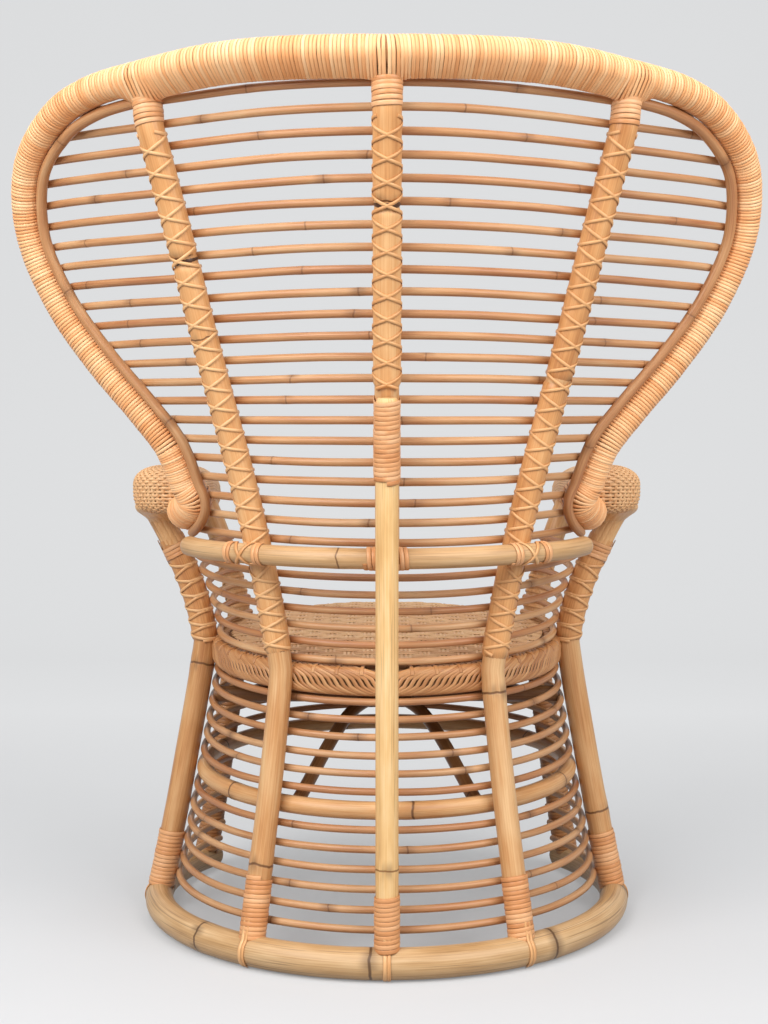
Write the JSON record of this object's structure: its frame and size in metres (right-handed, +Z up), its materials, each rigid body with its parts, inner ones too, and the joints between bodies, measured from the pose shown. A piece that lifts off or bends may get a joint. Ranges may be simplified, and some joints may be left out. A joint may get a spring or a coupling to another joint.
{
  "type": "peacock chair",
  "caption": "Bent rattan peacock chair: a waisted cage of thin rods on a floor ring, a woven seat and arms, and a wide fan back with a wound rim.",
  "frame": {"origin": "on the floor, under the middle of the chair's box", "axes": "+Z up; the sitter looks along -Y, so the fan back is on the +Y side; +X is the sitter's left"},
  "size_m": [0.9426, 0.7038, 1.0736],
  "materials": {
    "pole": "smooth peeled rattan pole, honey tan, satin",
    "pale_pole": "smooth peeled rattan pole, pale straw, satin",
    "rod": "thin rattan rod, reddish tan, satin",
    "wound": "close winding of flat cane strip, honey tan, satin",
    "woven": "fine woven cane, light tan, matt",
    "shaded_pole": "unpolished rattan pole, brown, matt"
  },
  "bodies": {
    "root": {"foot_ring": "pole", "mid_hoop": "pole", "rim_liner": "pole", "mid_stake_left": "pole", "side_stake_left": "pole", "front_leg_left": "pole", "mid_stake_right": "pole", "side_stake_right": "pole", "front_leg_right": "pole", "arm_ring": "pale_pole", "rim_roll": "wound", "arm_left": "woven", "arm_right": "woven", "centre_stake": "pole", "back_prop": "pale_pole", "skirt_rod_1": "rod", "skirt_rod_2": "rod", "skirt_rod_3": "rod", "skirt_rod_4": "rod", "skirt_rod_5": "rod", "skirt_rod_6": "rod", "skirt_rod_7": "rod", "skirt_rod_8": "rod", "skirt_rod_9": "rod", "skirt_rod_10": "rod", "skirt_rod_11": "rod", "skirt_rod_12": "rod", "side_rod_1": "rod", "side_rod_2": "rod", "side_rod_3": "rod", "side_rod_4": "rod", "side_rod_5": "rod", "side_rod_6": "rod", "back_rod_1": "rod", "back_rod_2": "rod", "back_rod_3": "rod", "back_rod_4": "rod", "back_rod_5": "rod", "back_rod_6": "rod", "back_rod_7": "rod", "back_rod_8": "rod", "back_rod_9": "rod", "back_rod_10": "rod", "back_rod_11": "rod", "back_rod_12": "rod", "back_rod_13": "rod", "back_rod_14": "rod", "back_rod_15": "rod", "back_rod_16": "rod", "back_rod_17": "rod", "back_rod_18": "rod", "back_rod_19": "rod", "back_rod_20": "rod", "back_rod_21": "rod", "back_rod_22": "rod", "seat_border": "woven", "seat_panel": "woven", "seat_rail": "shaded_pole", "seat_brace": "shaded_pole"}
  },
  "joints": []
}
